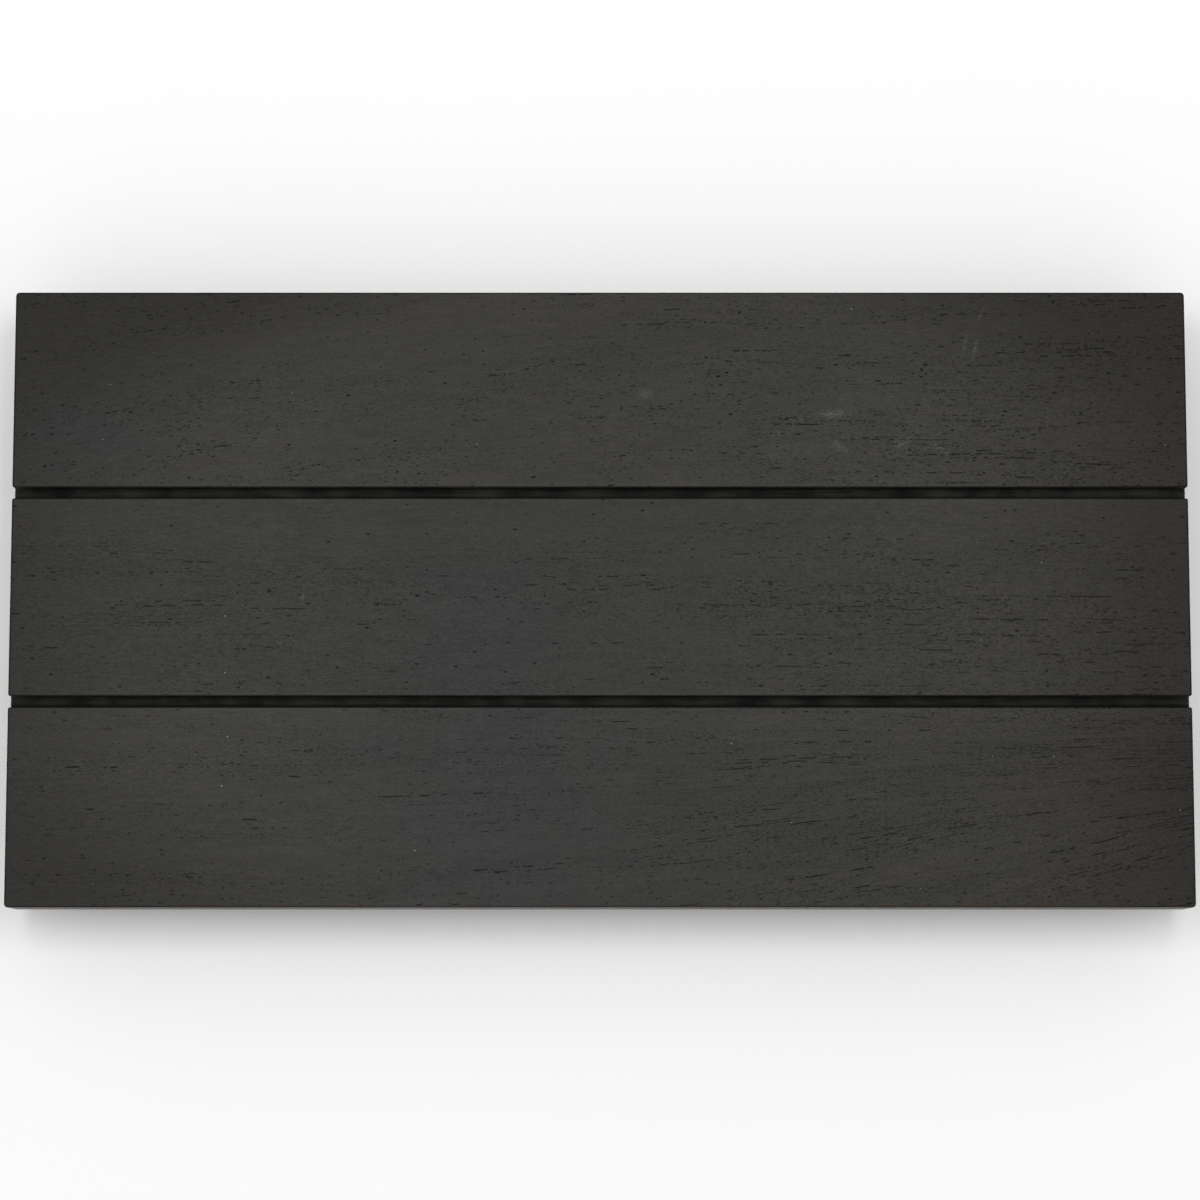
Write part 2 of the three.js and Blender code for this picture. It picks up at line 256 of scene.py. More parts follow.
# Each plank's own grain, its paleness and how that grows to the right, the arrises beside the gaps that get
# a painted highlight, where it turns olive, where it gets painted shade towards an end (side, start,
# strength, and how much sooner in a corner), its share of dust, and its scuffs (centre, half size, turn in
# degrees and strength)
BOARDS = {
    "rear": {
        "grain": {
            "Lean Start": 0.03,
            "Lean Side": -1,
            "Lean": -0.55,
            "Pith": (0, 40, -60),
            "Ring Strength": 0.2,
            "Long Pores": 0.30,
            "Middle Pores": 0.50,
            "Short Pores": 0.46,
            "Dense From": 0.045,
            "Dense To": 0.032,
            "Dense": 0.25,
            "More To Right": 1.8,
            "Cool Centre": (-0.138, 0.046, 0),
            "Cool Reach": 0.022,
            "Seed": 3.1,
        },
        "paleness": (0.24, 0.0),
        "highlighted_arrises": [REAR_LOW.y],
        "olive": (0.06, 0.20),
        "painted_end_shade": [(-1, 0.088, 1.05, 2.0), (1, 0.080, 1.15, 1.2)],
        "dust": 0.18,
        "scuffs": [
            ((0.0599, 0.0471), (0.0048, 0.0014), 0, 0.46),
            ((0.0453, 0.0422), (0.0018, 0.0008), 25, 0.30),
            ((0.0609, 0.0388), (0.0034, 0.0013), -40, 0.36),
            ((0.0770, 0.0396), (0.0026, 0.0016), 20, 0.40),
            ((0.0870, 0.0380), (0.0032, 0.0010), -35, 0.34),
            ((0.0522, 0.0458), (0.0046, 0.0006), 12, 0.20),
            ((0.0935, 0.0653), (0.0005, 0.0022), -10, 0.40),
            ((0.0960, 0.0638), (0.0006, 0.0030), -12, 0.50),
            ((0.0975, 0.0727), (0.0006, 0.0034), -28, 0.15),
            ((0.0115, 0.0523), (0.0023, 0.0015), 0, 0.30),
            ((-0.0087, 0.0419), (0.0020, 0.0023), 0, 0.12),
        ],
    },
    "middle": {
        "grain": {
            "Pith": (0, -20, -50),
            "Ring Strength": 0.3,
            "Long Pores": 0.53,
            "Middle Pores": 0.47,
            "Short Pores": 0.12,
            "Few Pores At": 0.025,
            "Many Pores At": 0.008,
            "More To Right": 0.8,
            "Cool Centre": (-0.030, -0.014, 0),
            "Cool Reach": 0.025,
            "Seed": 11.7,
        },
        "paleness": (0.02, 0.0),
        "highlighted_arrises": [MIDDLE_LOW.y, MIDDLE_REAR],
        "olive": (0.0, 0.17),
        "painted_end_shade": [(-1, 0.105, 1.45, 0.0), (1, 0.088, 1.6, 0.0)],
        "dust": 0.09,
        "scuffs": [
            ((-0.0756, 0.0002), (0.0006, 0.0018), -10, 0.32),
            ((-0.0832, 0.0179), (0.0010, 0.0005), -45, 0.22),
        ],
    },
    "front": {
        "grain": {
            "Lean Start": -0.10,
            "Lean": 0.50,
            "Fade From": -0.030,
            "Fade To": -0.060,
            "Pith": (0, -100, -45),
            "Ring Width": 2.6,
            "Ring Strength": 0.35,
            "Long Pores": 0.42,
            "Middle Pores": 0.51,
            "Short Pores": 0.15,
            "Dense From": -0.058,
            "Dense To": -0.076,
            "Dense": 0.45,
            "More To Right": 2.3,
            "Cool Centre": (-0.026, -0.052, 0),
            "Cool Reach": 0.037,
            "Seed": 23.3,
        },
        "paleness": (0.14, -1.4),
        "highlighted_arrises": [FRONT_REAR],
        "olive": (0.03, 0.14),
        "painted_end_shade": [(-1, 0.088, 0.85, -1.2), (1, 0.097, 1.5, 0.0)],
        "dust": 0.22,
        "scuffs": [],
    },
}
BATTEN_GRAIN = {
    "Pith": (0, 0, -30),
    "Ring Width": 2.5,
    "Ring Strength": 0.6,
    "Long Pores": 0.40,
    "Middle Pores": 0.45,
    "Short Pores": 0.30,
    "Half Length": BATTEN_HIGH.y,
    "Cool Centre": (1.0, 1.0, 0),
    "Cool Reach": 0.1,
    "Seed": 41.9,
}


class Net:
    """The nodes of one tree. An input given as a socket is linked, and any other value is set on it."""

    def __init__(self, tree):
        self.tree = tree

    def link(self, value, socket):
        if isinstance(value, bpy.types.NodeSocket):
            self.tree.links.new(value, socket)
        else:
            socket.default_value = value

    def add(self, kind, inputs=(), **settings):
        node = self.tree.nodes.new(kind)
        for name, value in settings.items():
            setattr(node, name, value)
        pairs = inputs.items() if isinstance(inputs, dict) else enumerate(inputs)
        for key, value in pairs:
            self.link(value, node.inputs[key])
        return node

    def math(self, operation, *values):
        return self.add("ShaderNodeMath", values, operation=operation).outputs[0]

    def plus(self, first, second):
        return self.math("ADD", first, second)

    def minus(self, first, second):
        return self.math("SUBTRACT", first, second)

    def times(self, first, second):
        return self.math("MULTIPLY", first, second)

    def times_plus(self, value, factor, extra):
        """The value times the factor, with the extra added."""
        return self.math("MULTIPLY_ADD", value, factor, extra)

    def larger(self, first, second):
        return self.math("MAXIMUM", first, second)

    def vector(self, operation, *values):
        node = self.add("ShaderNodeVectorMath", values, operation=operation)
        scalar = operation in ("LENGTH", "DOT_PRODUCT")
        return node.outputs["Value" if scalar else "Vector"]

    def split(self, vector):
        return self.add("ShaderNodeSeparateXYZ", (vector,)).outputs

    def join(self, x, y, z):
        return self.add("ShaderNodeCombineXYZ", (x, y, z)).outputs[0]

    def shift(self, vector, amount):
        """The vector moved by one amount on every axis."""
        return self.vector("ADD", vector, self.join(amount, amount, amount))

    def ramp(self, value, start, end, low=0.0, high=1.0):
        """Rises smoothly from low, where the value is start, to high, where it is end."""
        inputs = (value, start, end, low, high)
        return self.add("ShaderNodeMapRange", inputs, interpolation_type="SMOOTHSTEP").outputs[0]

    def noise(self, vector, scale=1.0, detail=2.0, roughness=0.5):
        inputs = {"Vector": vector, "Scale": scale, "Detail": detail, "Roughness": roughness}
        return self.add("ShaderNodeTexNoise", inputs).outputs[0]

    def blend(self, factor, first, second, how="MIX"):
        """A colour between two colours, or the first tinted by the second."""
        inputs = {0: factor, 6: first, 7: second}
        return self.add("ShaderNodeMix", inputs, data_type="RGBA", blend_type=how).outputs[2]

    def choose(self, factor, first, second):
        """A number between two numbers."""
        return self.add("ShaderNodeMix", {0: factor, 2: first, 3: second}).outputs[0]

    def group(self, tree, **inputs):
        """A shader group; an input's name has underscores for spaces."""
        named = {name.replace("_", " "): value for name, value in inputs.items()}
        return self.add("ShaderNodeGroup", named, node_tree=tree).outputs

    def results(self, *values):
        """Links the values to the tree's outputs in their order, and gives the tree."""
        self.add("NodeGroupOutput", values)
        return self.tree

    def geometry(self, kind, inputs=(), **settings):
        """The first output of a geometry node."""
        return self.add("GeometryNode" + kind, inputs, **settings).outputs[0]


def new_tree(name, inputs, outputs, kind="ShaderNodeTree"):
    """A node tree with named sockets, as its net and its inputs. A number is a float's default."""
    tree = bpy.data.node_groups.new(name, kind)
    for label, given in inputs.items():
        named_kind = isinstance(given, str)
        socket_kind = "NodeSocket" + (given if named_kind else "Float")
        socket = tree.interface.new_socket(label, in_out="INPUT", socket_type=socket_kind)
        if not named_kind:
            socket.default_value = given
    for label, given in outputs.items():
        tree.interface.new_socket(label, in_out="OUTPUT", socket_type="NodeSocket" + given)
    net = Net(tree)
    return net, net.add("NodeGroupInput").outputs


# Shader groups

def grain_run_group():
    """A place on a board in millimetres along, across and into the grain, which leans towards one end."""
    inputs = {
        "Place": "Vector",
        "Lean Start": 0.0,
        "Lean Side": 1.0,
        "Lean": 0.0,
        "Fade From": 0.0,
        "Fade To": 1.0,
    }
    net, given = new_tree("Grain run", inputs, {"Grain": "Vector"})
    x, y, z = net.split(given["Place"])
    offset = net.minus(x, given["Lean Start"])
    reach = net.larger(net.times(offset, given["Lean Side"]), 0.0)
    bend = net.times(net.times(reach, reach), given["Lean"])
    drift = net.times(bend, net.ramp(y, given["Fade From"], given["Fade To"]))
    waves = net.noise(net.vector("MULTIPLY", given["Place"], GRAIN_WAVES), detail=1.0)
    sway = net.times(net.minus(waves, 0.5), GRAIN_WOBBLE)
    across = net.plus(net.minus(y, drift), sway)
    grain = net.vector("MULTIPLY", net.join(x, across, z), (1 / MM, 1 / MM, 1 / MM))
    return net.results(grain)


def growth_ring_group():
    """Soft bands round a pith line that runs along the grain."""
    inputs = {"Grain": "Vector", "Pith": "Vector", "Ring Width": 3.0}
    net, given = new_tree("Growth rings", inputs, {"Ring": "Float"})
    offset = net.vector("SUBTRACT", given["Grain"], given["Pith"])
    radius = net.vector("LENGTH", net.vector("MULTIPLY", offset, ACROSS_GRAIN))
    along = net.times(net.split(offset)[0], 1 / RING_RUN)
    count = net.math("DIVIDE", radius, given["Ring Width"])
    return net.results(net.noise(net.join(along, count, 0.0), detail=2.0))


def pore_and_rim_highlight(net, aside, outer, depth):
    """A dark pore out to its outer radius, and round it a pale rim of painted highlight."""
    shape = net.ramp(aside, outer, net.times(outer, PORE_CORE))
    around = net.ramp(aside, net.times(outer, RIM_OUTER), net.times(outer, RIM_INNER))
    return net.times(shape, depth), net.times(net.minus(around, shape), depth)


def pore_line_group():
    """Broken lines of open pores along the grain, each line with its own place, dashes and depth."""
    inputs = {"Grain": "Vector", "Pitch": "Vector", "Dash": 3.0, "Cover": 0.5, "Seed": 0.0}
    outputs = {"Pore": "Float", "Rim Highlight": "Float"}
    net, given = new_tree("Pore lines", inputs, outputs)
    along, across, inward = net.split(given["Grain"])
    bends = net.noise(net.vector("DIVIDE", given["Grain"], LINE_BENDS), detail=1.0)
    across = net.times_plus(net.minus(bends, 0.5), LINE_BEND_WIDTH, across)
    bent = net.vector("DIVIDE", net.join(along, across, inward), given["Pitch"])
    place = net.shift(bent, given["Seed"])
    lines = net.add("ShaderNodeTexVoronoi", {"Vector": place, "Scale": 1.0})
    first, second, third = net.split(lines.outputs["Color"])
    start = net.times_plus(first, LINES_APART, net.math("DIVIDE", along, given["Dash"]))
    own_line = net.join(start, net.times(second, LINES_APART), net.times(third, LINES_APART))
    dashes = net.noise(own_line, detail=2.0, roughness=0.6)
    closed = net.times_plus(given["Cover"], *LINE_OPENING)
    open_from = net.times_plus(net.minus(second, 0.5), LINE_VARIETY, closed)
    present = net.ramp(dashes, open_from, net.plus(open_from, DASH_SOFTNESS))
    offset = net.vector("SUBTRACT", place, lines.outputs["Position"])
    aside = net.vector("LENGTH", net.vector("MULTIPLY", offset, ACROSS_GRAIN))
    ragged = net.noise(net.vector("DIVIDE", given["Grain"], LINE_RAGS), detail=1.0)
    outer = net.times_plus(ragged, *LINE_RADIUS)
    depth = net.times_plus(net.times(third, third), *LINE_DEPTH)
    return net.results(*pore_and_rim_highlight(net, aside, outer, net.times(present, depth)))


def scattered_pore_group():
    """Separate short pores, each with its own length, depth and place."""
    inputs = {"Grain": "Vector", "Pitch": "Vector", "Density": 0.5, "Seed": 0.0}
    outputs = {"Pore": "Float", "Rim Highlight": "Float"}
    net, given = new_tree("Scattered pores", inputs, outputs)
    ragged = net.noise(net.vector("DIVIDE", given["Grain"], SHORT_RAGS), detail=1.0)
    cell = net.shift(net.vector("DIVIDE", given["Grain"], given["Pitch"]), given["Seed"])
    cells = net.add("ShaderNodeTexVoronoi", {"Vector": cell, "Scale": 1.0})
    chance, size, depth = net.split(cells.outputs["Color"])
    distance = net.times_plus(net.minus(ragged, 0.5), SHORT_RAG_DEPTH, cells.outputs["Distance"])
    outer = net.times_plus(size, *SHORT_RADIUS)
    present = net.math("LESS_THAN", chance, given["Density"])
    depth = net.times_plus(net.times(depth, depth), *SHORT_DEPTH)
    return net.results(*pore_and_rim_highlight(net, distance, outer, net.times(present, depth)))


def stained_grain_group(grain_run, growth_rings, pore_lines, scattered_pores):
    """The grain of one stained board: its tone, pores and fibres, its warm or cool cast, and its ends."""
    inputs = {
        "Place": "Vector",
        "Lean Start": 0.0,
        "Lean Side": 1.0,
        "Lean": 0.0,
        "Fade From": -1.0,
        "Fade To": -0.9,
        "Pith": "Vector",
        "Ring Width": 3.0,
        "Ring Strength": 0.5,
        "Long Pores": 0.3,
        "Middle Pores": 0.3,
        "Short Pores": 0.3,
        "Few Pores At": 1.0,
        "Many Pores At": 0.9,
        "Dense From": 1.0,
        "Dense To": 0.9,
        "Dense": 0.0,
        "More To Right": 0.0,
        "Half Length": DECK_LENGTH / 2,
        "Cool Centre": "Vector",
        "Cool Reach": 0.03,
        "Seed": 0.0,
    }
    outputs = {label: "Float" for label in ("Tone", "Pore", "Fibre", "Warmth", "End")}
    net, given = new_tree("Stained grain", inputs, outputs)
    run_labels = ("Place", "Lean Start", "Lean Side", "Lean", "Fade From", "Fade To")
    run = {label: given[label] for label in run_labels}
    grain = net.add("ShaderNodeGroup", run, node_tree=grain_run).outputs[0]
    seed = given["Seed"]
    x, y, _ = net.split(given["Place"])

    def streaks(along, across, detail, roughness):
        """Noise drawn out along the grain, with its sizes in millimetres."""
        sizes = net.vector("DIVIDE", grain, (along, across, across))
        return net.noise(net.shift(sizes, seed), detail=detail, roughness=roughness)

    rings = net.group(growth_rings, Grain=grain, Pith=given["Pith"], Ring_Width=given["Ring Width"])[0]
    patches = net.ramp(net.minus(streaks(*PATCH_STREAKS), rings), -0.2, 0.2, *PATCH_PORES)
    thinned = net.ramp(y, given["Few Pores At"], given["Many Pores At"], THINNED_PORES, 1.0)
    livelier = net.times_plus(net.plus(x, LIVELIER_FROM), given["More To Right"], 1.0)
    patches = net.times(net.times(patches, thinned), livelier)
    extra = net.ramp(y, given["Dense From"], given["Dense To"], 0.0, given["Dense"])
    density = net.times_plus(given["Short Pores"], patches, extra)
    short = {"Grain": grain, "Pitch": SHORT_PORE_PITCH, "Density": density, "Seed": seed}
    pores, rim_highlights = net.group(scattered_pores, **short)
    for label, pitch, dash in PORE_LINES:
        cover = net.times(given[label + " Pores"], patches)
        own_seed = net.plus(seed, dash)
        line = {"Grain": grain, "Pitch": pitch, "Dash": dash, "Cover": cover, "Seed": own_seed}
        line_pores, line_rim_highlights = net.group(pore_lines, **line)
        pores = net.larger(pores, line_pores)
        rim_highlights = net.larger(rim_highlights, line_rim_highlights)
    end_line = net.minus(given["Half Length"], END_GRAIN_DEPTH)
    at_end = net.ramp(net.math("ABSOLUTE", x), end_line, given["Half Length"])
    early_wood = net.ramp(rings, *EARLY_WOOD)
    end_grain = {"Grain": grain, "Pitch": END_PORE_PITCH, "Density": early_wood, "Seed": seed}
    end_pores = net.group(scattered_pores, **end_grain)[0]
    pores = net.larger(pores, net.times(end_pores, at_end))

    coarse = streaks(*COARSE_STREAKS)
    fine = streaks(*FINE_STREAKS)
    ticks = net.times(net.ramp(streaks(*TICK_STREAKS), 0.56, 0.68), patches)
    parts = (
        (streaks(*CLOUD_STREAKS), CLOUD_STRENGTH),
        (streaks(*BAND_STREAKS), BAND_STRENGTH),
        (rings, net.times_plus(at_end, END_RING_STRENGTH, given["Ring Strength"])),
        (coarse, COARSE_STRENGTH),
        (fine, net.times(livelier, FINE_STRENGTH)),
    )
    tone = 0.5
    for part, strength in parts:
        tone = net.times_plus(net.minus(part, 0.5), strength, tone)
    tone = net.times_plus(ticks, TICK_STRENGTH, tone)
    # Painted highlight: a pale rim round each pore
    tone = net.times_plus(rim_highlights, RIM_HIGHLIGHT_STRENGTH, tone)
    fibre = net.times_plus(ticks, TICK_DEPTH, net.times(net.plus(coarse, fine), 0.5))

    from_cool = net.vector("SUBTRACT", given["Place"], given["Cool Centre"])
    distance = net.vector("LENGTH", net.vector("MULTIPLY", from_cool, IN_PLAN))
    away = net.math("DIVIDE", distance, given["Cool Reach"])
    edge = net.times_plus(net.minus(streaks(*CAST_STREAKS), 0.5), 2.0, away)
    warmth = net.ramp(edge, 0.3, 1.6)
    return net.results(tone, pores, fibre, warmth, at_end)


def edge_shade_and_wear_group():
    """A mask along the edges of a box, ragged as a rubbed edge is: painted shade on the deck, wear on the
    battens.
    """
    inputs = {"Place": "Vector", "Low": "Vector", "High": "Vector", "Width": 0.001}
    net, given = new_tree("Edge shade and wear", inputs, {"Wear": "Float"})
    from_low = net.vector("SUBTRACT", given["Place"], given["Low"])
    from_high = net.vector("SUBTRACT", given["High"], given["Place"])
    nearest = net.vector("MINIMUM", from_low, from_high)
    x, y, z = net.split(net.vector("MAXIMUM", nearest, (0.0, 0.0, 0.0)))
    smallest = net.math("MINIMUM", net.math("MINIMUM", x, y), z)
    largest = net.larger(net.larger(x, y), z)
    total = net.plus(net.plus(x, y), z)
    second = net.minus(net.minus(total, smallest), largest)
    ragged = net.noise(given["Place"], scale=260.0, detail=3.0)
    reach = net.times(given["Width"], net.ramp(ragged, 0.3, 0.7, 0.3, 1.4))
    return net.results(net.ramp(second, reach, 0.0))


def dust_speck_group():
    """Tiny pale specks, a few of them on each hand's breadth."""
    inputs = {"Place": "Vector", "Pitch": DUST_PITCH, "Share": 0.3, "Size": DUST_SIZE}
    net, given = new_tree("Dust specks", inputs, {"Speck": "Float"})
    spread = {"Vector": given["Place"], "Scale": net.math("DIVIDE", 1.0, given["Pitch"])}
    cells = net.add("ShaderNodeTexVoronoi", spread, voronoi_dimensions="2D")
    chance, size, _ = net.split(cells.outputs["Color"])
    largest = net.math("DIVIDE", given["Size"], given["Pitch"])
    outer = net.times(largest, net.times_plus(size, 0.7, 0.3))
    present = net.math("LESS_THAN", chance, given["Share"])
    spot = net.ramp(cells.outputs["Distance"], outer, net.times(outer, 0.4))
    return net.results(net.times(spot, present))


def scuff_group():
    """One pale rubbed patch of fine broken strokes, on a board's upper face."""
    inputs = {"Place": "Vector", "Centre": "Vector", "Turn": "Vector", "Half Size": "Vector"}
    net, given = new_tree("Scuff", inputs, {"Scuff": "Float"})
    mapping = (given["Place"], given["Centre"], given["Turn"], given["Half Size"])
    local = net.add("ShaderNodeMapping", mapping, vector_type="TEXTURE").outputs[0]
    distance = net.vector("LENGTH", net.vector("MULTIPLY", local, IN_PLAN))
    strokes = net.noise(given["Place"], scale=1800.0, detail=4.0, roughness=0.7)
    broken = net.ramp(strokes, 0.42, 0.62, 0.12, 1.0)
    return net.results(net.times(net.ramp(distance, 1.3, 0.1), broken))


# Materials

def new_material(name, roughness, specular):
    """A material with its net of nodes, its Principled shader and the piece's own coordinates."""
    material = bpy.data.materials.new(name)
    material.use_nodes = True
    material.node_tree.nodes.clear()
    net = Net(material.node_tree)
    shine = {"Roughness": roughness, "Specular IOR Level": specular}
    shader = net.add("ShaderNodeBsdfPrincipled", shine)
    net.add("ShaderNodeOutputMaterial", {"Surface": shader.outputs[0]})
    place = net.add("ShaderNodeTexCoord").outputs["Object"]
    return material, net, shader, place


def dress(net, shader, colour, roughness, height, relief):
    """Links a shader's colour, roughness and bumps, whose height runs from 0 to 1 over the relief."""
    bump = net.add("ShaderNodeBump", {"Strength": 1.0, "Distance": relief, "Height": height})
    look = {"Base Color": colour, "Roughness": roughness, "Normal": bump.outputs[0]}
    for name, value in look.items():
        net.link(value, shader.inputs[name])


def stain_colour(net, tone, warmth):
    """The stain's colour between the pores, warm or cool."""
    warm = net.blend(tone, WARM_DEEP, WARM_PALE)
    cool = net.blend(tone, COOL_DEEP, COOL_PALE)
    return net.blend(warmth, cool, warm)


def deck_wood(name, board):
    """Black-stained open-pored wood of one plank: grain, painted shade towards the ends and corners and
    along the edges, painted highlights beside the gaps, bare wood at the front edge, scuffs and dust.
    """
    material, net, shader, place = new_material(name, 0.5, 0.18)
    grain = net.add("ShaderNodeGroup", {"Place": place, **board["grain"]}, node_tree=STAINED_GRAIN)
    tone, pore, fibre, warmth, end = grain.outputs
    x, y, z = net.split(place)
    paleness, paler_to_right = board["paleness"]
    tone = net.plus(tone, net.times_plus(x, paler_to_right, paleness))
    # Painted highlight: the arrises beside the gaps are made paler
    for arris in board["highlighted_arrises"]:
        from_arris = net.math("ABSOLUTE", net.minus(y, arris))
        tone = net.plus(tone, net.ramp(from_arris, *ARRIS_HIGHLIGHT_REACH, 0.0, ARRIS_PAINTED_HIGHLIGHT))
    colour = stain_colour(net, tone, warmth)
    # Painted shade: the deck darkens towards its ends and corners, where the softboxes' reflection falls
    # off, and less so on the end grain
    shade_share = net.times_plus(end, END_GRAIN_SHADE, 1.0)
    for side, start, strength, corner in board["painted_end_shade"]:
        beyond = net.times_plus(y, corner, -abs(corner) * END_SHADE_CORNER)
        outward = net.times_plus(x, side, net.larger(beyond, 0.0))
        painted_end_shade = net.ramp(outward, start, start + END_SHADE_REACH, 0.0, strength)
        colour = net.blend(net.times(painted_end_shade, shade_share), colour, END_SHADE_BROWN)
    olive = net.blend(1.0, colour, OLIVE_TINT, how="MULTIPLY")
    colour = net.blend(net.ramp(x, *board["olive"]), colour, olive)
    colour = net.blend(pore, colour, PORE_BLACK)

    # Painted shade: the deck's arrises are darkened to black, except at the front edge, where bare wood
    # shows through the stain
    edge_width, edge_strength = DECK_EDGE_SHADE_AND_WEAR
    edge = net.group(EDGE_SHADE_AND_WEAR, Place=place, Low=DECK_LOW, High=DECK_HIGH, Width=edge_width)[0]
    edge_shade_and_bare_wood = net.blend(net.ramp(y, *BARE_FRONT), PORE_BLACK, BARE_BROWN)
    colour = net.blend(net.times(edge, edge_strength), colour, edge_shade_and_bare_wood)
    on_top = net.ramp(z, *UPPER_FACE)
    for centre, half_size, turn, strength in board["scuffs"]:
        patch = {"Centre": (*centre, 0), "Turn": (0, 0, math.radians(turn)), "Half Size": (*half_size, 1)}
        scuff = net.group(SCUFF, Place=place, **patch)[0]
        colour = net.blend(net.times(net.times(scuff, strength), on_top), colour, SCUFF_GREY)
    speck = net.group(DUST_SPECKS, Place=place, Share=board["dust"])[0]
    colour = net.blend(net.times(speck, on_top), colour, DUST_WHITE)
    gloss = net.times_plus(fibre, -0.3, 0.55)
    dull = net.times_plus(net.larger(pore, edge), 0.4, gloss)
    height = net.minus(net.times(fibre, 0.25), pore)
    dress(net, shader, colour, dull, height, PORE_RELIEF)
    return material


def sawn_wood(name):
    """The stained but unsanded wood inside the joints, with painted shade in the corner at each tongue's
    root.
    """
    material, net, shader, place = new_material(name, 0.85, 0.18)
    saw_marks = net.vector("MULTIPLY", place, (90.0, 2500.0, 2500.0))
    marks = net.noise(saw_marks, detail=3.0, roughness=0.65)
    blotch = net.noise(place, scale=120.0, detail=2.0)
    tone = net.times(net.plus(marks, blotch), 0.5)
    colour = net.blend(net.ramp(tone, 0.35, 0.65), PORE_BLACK, SAWN_BLACK)
    y = net.split(place)[1]
    # Painted shade in the corner where each tongue's root meets the wall above it
    for wall in (MIDDLE_REAR, FRONT_REAR):
        from_wall = net.math("ABSOLUTE", net.minus(y, wall))
        root_shade = net.ramp(from_wall, *ROOT_SHADE_REACH, 0.0, ROOT_SHADE_STRENGTH)
        colour = net.blend(root_shade, colour, ROOT_SHADE_BLACK)
    dress(net, shader, colour, net.ramp(marks, 0.3, 0.7, 0.75, 0.95), marks, relief=0.1 * MM)
    return material


def batten_wood(name, low, high):
    """The battens' stained wood, whose grain runs from front to rear."""
    material, net, shader, place = new_material(name, 0.6, 0.2)
    x, y, z = net.split(place)
    inputs = {"Place": net.join(y, x, z), **BATTEN_GRAIN}
    tone, pore, fibre, warmth, _ = net.add("ShaderNodeGroup", inputs, node_tree=STAINED_GRAIN).outputs
    colour = net.blend(pore, stain_colour(net, tone, warmth), PORE_BLACK)
    edge_width, edge_strength = BATTEN_WEAR
    wear = net.group(EDGE_SHADE_AND_WEAR, Place=place, Low=low, High=high, Width=edge_width)[0]
    colour = net.blend(net.times(wear, edge_strength), colour, BARE_BROWN)
    dull = net.times_plus(pore, 0.3, net.times_plus(fibre, -0.2, 0.66))
    height = net.minus(net.times(fibre, 0.3), pore)
    dress(net, shader, colour, dull, height, PORE_RELIEF)
    return material


def zinc_plated_steel(name):
    """Bright zinc plating with dull clouds and fine marks."""
    material, net, shader, place = new_material(name, 0.35, 0.5)
    shader.inputs["Metallic"].default_value = 1.0
    cloud = net.noise(place, scale=900.0, detail=3.0)
    marks = net.noise(place, scale=6000.0, detail=2.0)
    colour = net.blend(net.ramp(cloud, 0.35, 0.7), ZINC_PALE, ZINC_DULL)
    dress(net, shader, colour, net.ramp(cloud, 0.3, 0.7, 0.26, 0.46), marks, relief=0.01 * MM)
    return material


def black_rubber(name):
    """Matt black rubber with a fine moulded texture."""
    material, net, shader, place = new_material(name, 0.8, 0.3)
    texture = net.noise(place, scale=3500.0, detail=3.0)
    bloom = net.noise(place, scale=220.0, detail=2.0)
    colour = net.blend(net.ramp(bloom, 0.35, 0.7), RUBBER_BLACK, RUBBER_GREY)
    dress(net, shader, colour, net.ramp(texture, 0.3, 0.7, 0.7, 0.9), texture, relief=0.03 * MM)
    return material


def studio_floor(name):
    """A pale matt floor, clear from below so that the tray's underside can be looked at."""
    material, net, shader, place = new_material(name, 0.9, 0.1)
    shade = net.noise(place, scale=3.0, detail=2.0)
    net.link(net.blend(shade, FLOOR_WHITE, FLOOR_SHADE), shader.inputs["Base Color"])
    below = net.add("ShaderNodeNewGeometry").outputs["Backfacing"]
    clear = net.add("ShaderNodeBsdfTransparent").outputs[0]
    mixed = net.add("ShaderNodeMixShader", (below, shader.outputs[0], clear)).outputs[0]
    output = next(node for node in material.node_tree.nodes if node.type == "OUTPUT_MATERIAL")
    net.link(mixed, output.inputs["Surface"])
    return material


# Geometry node trees

